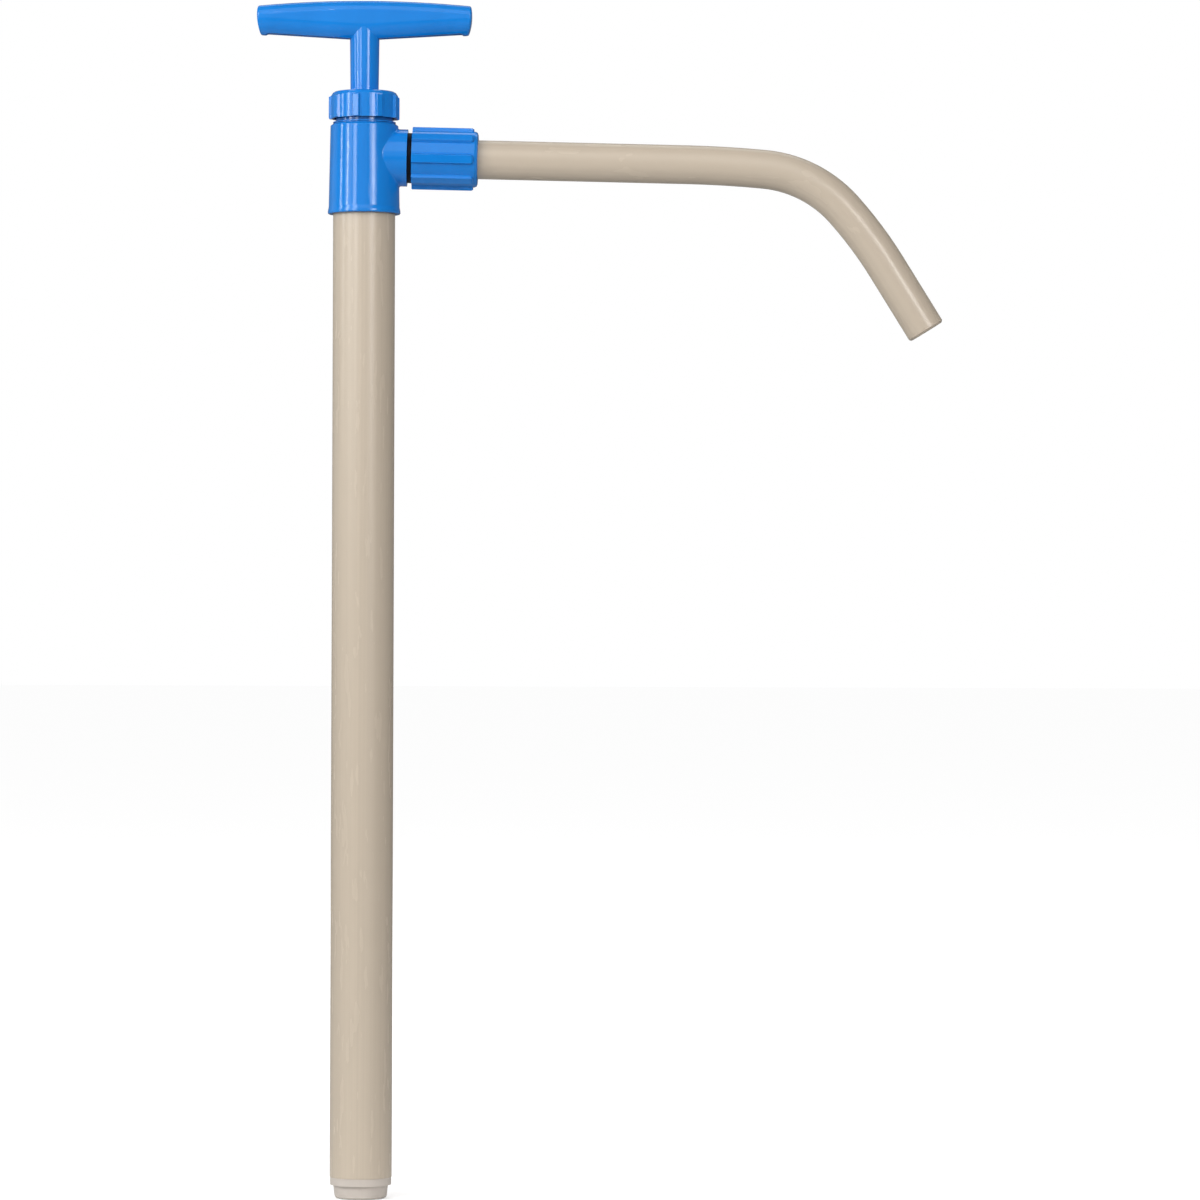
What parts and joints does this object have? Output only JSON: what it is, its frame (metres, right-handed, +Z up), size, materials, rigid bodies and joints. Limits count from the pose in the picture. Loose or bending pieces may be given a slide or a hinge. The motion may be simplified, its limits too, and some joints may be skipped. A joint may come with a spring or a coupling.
{
  "type": "drum barrel pump",
  "caption": "Hand-operated barrel pump: straight dip tube, T-shaped head, T-handle on a piston rod and a bent spout held by a union nut.",
  "frame": {"origin": "centre of the suction mouth, on the flat face of the foot", "axes": "+Z up along the dip tube and rod, +X towards the spout, front towards -Y"},
  "size_m": [0.3538, 0.0376, 0.6169],
  "materials": {
    "blue_plastic": "glossy moulded blue plastic",
    "pipe_plastic": "satin beige-grey extruded plastic pipe",
    "foot_plastic": "satin grey-beige moulded plastic",
    "natural_plastic": "matte natural white plastic",
    "rod_plastic": "smooth satin off-white plastic rod",
    "ball_plastic": "polished white plastic",
    "black_rubber": "matte black rubber"
  },
  "bodies": {
    "barrel": {"outer_tube": "pipe_plastic", "pump_head": "blue_plastic", "guide_bush": "natural_plastic", "bush_oring": "black_rubber", "rod_seal": "black_rubber", "gland_washer": "natural_plastic", "branch_ring": "black_rubber", "foot_valve_body": "foot_plastic", "foot_valve_oring": "black_rubber", "foot_ball_cage": "natural_plastic"},
    "foot_ball": {"foot_valve_ball": "ball_plastic"},
    "top_nut_carrier": {"top_slip_ring": "natural_plastic"},
    "top_nut": {"top_union_nut": "blue_plastic"},
    "side_nut_carrier": {"side_slip_ring": "natural_plastic"},
    "side_nut": {"side_union_nut": "blue_plastic"},
    "spout_pipe": {"spout": "pipe_plastic", "spout_seal": "black_rubber"},
    "piston_seal": {"piston_ring": "black_rubber"},
    "plunger": {"handle": "blue_plastic", "piston_rod": "rod_plastic", "piston_body": "natural_plastic", "piston_valve_seat": "natural_plastic"},
    "discharge_ball": {"piston_ball": "ball_plastic"}
  },
  "joints": [
    {"name": "pump_stroke", "type": "slide", "parent": "barrel", "child": "piston_seal", "axis": [0, 0, 1], "range_m": [0, 0.46]},
    {"name": "handle_spin", "type": "hinge", "parent": "piston_seal", "child": "plunger", "pos_m": [0, 0, 0.6], "axis": [0, 0, 1], "continuous": true},
    {"name": "discharge_ball_lift", "type": "slide", "parent": "plunger", "child": "discharge_ball", "axis": [0, 0, 1], "range_m": [0, 0.003]},
    {"name": "foot_ball_lift", "type": "slide", "parent": "barrel", "child": "foot_ball", "axis": [0, 0, 1], "range_m": [0, 0.005]},
    {"name": "top_nut_travel", "type": "slide", "parent": "barrel", "child": "top_nut_carrier", "axis": [0, 0, 1], "range_m": [0, 0.006]},
    {"name": "top_nut_turn", "type": "hinge", "parent": "top_nut_carrier", "child": "top_nut", "pos_m": [0, 0, 0.563], "axis": [0, 0, 1], "range_deg": [0, 720]},
    {"name": "side_nut_travel", "type": "slide", "parent": "barrel", "child": "side_nut_carrier", "axis": [0.9998, 0, -0.0205], "range_m": [0, 0.0165]},
    {"name": "side_nut_turn", "type": "hinge", "parent": "side_nut_carrier", "child": "side_nut", "pos_m": [0, 0, 0.5365], "axis": [0.9998, 0, -0.0205], "range_deg": [0, 1980]},
    {"name": "spout_swivel", "type": "hinge", "parent": "barrel", "child": "spout_pipe", "pos_m": [0, 0, 0.5365], "axis": [0.9998, 0, -0.0205], "continuous": true}
  ],
  "couplings": [
    {"joint": "top_nut_travel", "follows": "top_nut_turn", "m_per_rad": 0.00047746},
    {"joint": "side_nut_travel", "follows": "side_nut_turn", "m_per_rad": 0.00047746}
  ]
}
